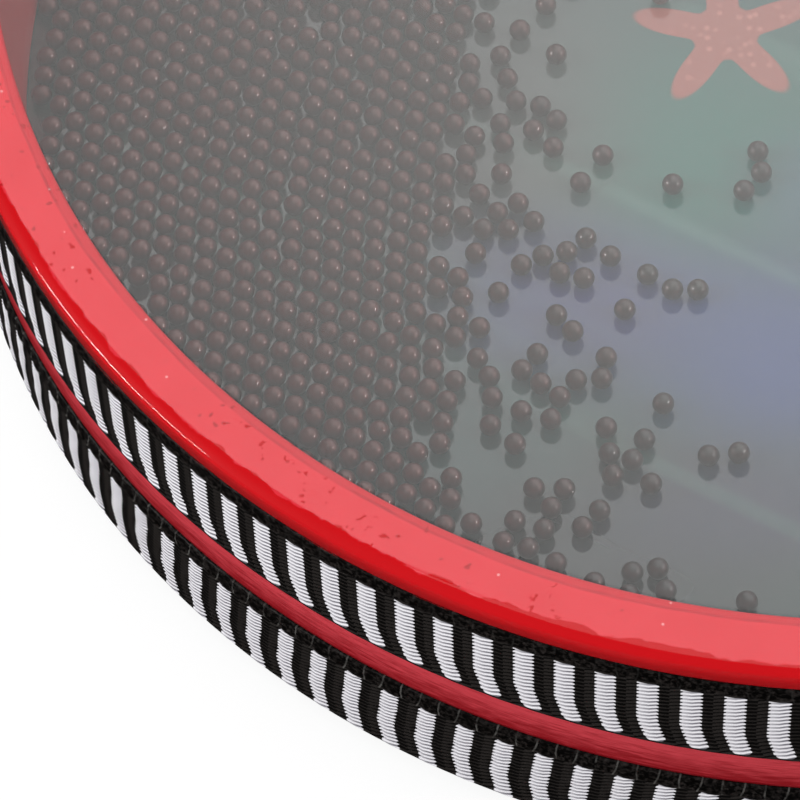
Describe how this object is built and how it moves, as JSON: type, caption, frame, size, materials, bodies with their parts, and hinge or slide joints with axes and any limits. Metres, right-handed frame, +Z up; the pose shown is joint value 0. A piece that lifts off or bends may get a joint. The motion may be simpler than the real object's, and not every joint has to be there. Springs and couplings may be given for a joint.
{
  "type": "ocean drum",
  "caption": "Shallow bent-wood hoop with a clear film head over a printed one, woven braid round both edges and loose steel shot that rolls inside.",
  "frame": {"origin": "centre of the underside, where the drum rests", "axes": "+Z up along the drum's axis; -Y faces the viewer of the picture; the shot lies towards -X"},
  "size_m": [0.305, 0.305, 0.06],
  "materials": {
    "painted_hoop": "red paint over fine wood grain, satin",
    "clear_film": "clear, slightly milky polyester film, glossy",
    "printed_film": "polyester film printed with a sea picture, glossy",
    "woven_braid": "black ribbed weave with white slanted blocks",
    "steel_shot": "dark, polished steel balls"
  },
  "bodies": {
    "drum": {"hoop": "painted_hoop", "top_head": "clear_film", "bottom_head": "printed_film", "top_braid": "woven_braid", "bottom_braid": "woven_braid"},
    "shot_bank": {"shot_bank_a": "steel_shot", "shot_bank_b": "steel_shot", "shot_bank_c": "steel_shot", "shot_bank_d": "steel_shot", "shot_bank_e": "steel_shot", "shot_bank_f": "steel_shot", "shot_bank_g": "steel_shot", "shot_bank_h": "steel_shot", "shot_bank_i": "steel_shot"},
    "shot_spray": {"shot_spray": "steel_shot"},
    "stray_a": {"stray_a": "steel_shot"},
    "stray_b": {"stray_b": "steel_shot"},
    "stray_c": {"stray_c": "steel_shot"},
    "stray_d": {"stray_d": "steel_shot"},
    "stray_e": {"stray_e": "steel_shot"},
    "stray_f": {"stray_f": "steel_shot"},
    "stray_g": {"stray_g": "steel_shot"},
    "stray_h": {"stray_h": "steel_shot"},
    "stray_i": {"stray_i": "steel_shot"},
    "stray_j": {"stray_j": "steel_shot"},
    "stray_k": {"stray_k": "steel_shot"},
    "stray_l": {"stray_l": "steel_shot"}
  },
  "joints": [
    {"name": "swirl", "type": "hinge", "parent": "drum", "child": "shot_bank", "pos_m": [0, 0, 0.00235], "axis": [0, 0, 1], "continuous": true},
    {"name": "spray_hop", "type": "slide", "parent": "shot_bank", "child": "shot_spray", "axis": [0, 0, 1], "range_m": [0, 0.055]},
    {"name": "roll_a", "type": "slide", "parent": "shot_bank", "child": "stray_a", "axis": [-0.2588, 0.9659, 0], "range_m": [-0.017, 0.019]},
    {"name": "roll_b", "type": "slide", "parent": "shot_bank", "child": "stray_b", "axis": [-0.2588, 0.9659, 0], "range_m": [-0.017, 0.057]},
    {"name": "roll_c", "type": "slide", "parent": "shot_bank", "child": "stray_c", "axis": [-0.5, 0.866, 0], "range_m": [-0.042, 0]},
    {"name": "roll_d", "type": "slide", "parent": "shot_bank", "child": "stray_d", "axis": [-0.9659, 0.2588, 0], "range_m": [0, 0.011]},
    {"name": "roll_e", "type": "slide", "parent": "shot_bank", "child": "stray_e", "axis": [0, 1, 0], "range_m": [-0.025, 0]},
    {"name": "roll_f", "type": "slide", "parent": "shot_bank", "child": "stray_f", "axis": [-0.2588, 0.9659, 0], "range_m": [-0.039, 0.015]},
    {"name": "roll_g", "type": "slide", "parent": "shot_bank", "child": "stray_g", "axis": [0, 1, 0], "range_m": [-0.02, 0.047]},
    {"name": "roll_h", "type": "slide", "parent": "shot_bank", "child": "stray_h", "axis": [0.5, 0.866, 0], "range_m": [-0.016, 0.001]},
    {"name": "roll_i", "type": "slide", "parent": "shot_bank", "child": "stray_i", "axis": [0.2588, 0.9659, 0], "range_m": [-0.032, 0.052]},
    {"name": "roll_j", "type": "slide", "parent": "shot_bank", "child": "stray_j", "axis": [0, 1, 0], "range_m": [-0.098, 0.16]},
    {"name": "roll_k", "type": "slide", "parent": "shot_bank", "child": "stray_k", "axis": [0, 1, 0], "range_m": [-0.18, 0.095]},
    {"name": "roll_l", "type": "slide", "parent": "shot_bank", "child": "stray_l", "axis": [-0.2588, 0.9659, 0], "range_m": [-0.134, 0.079]}
  ]
}
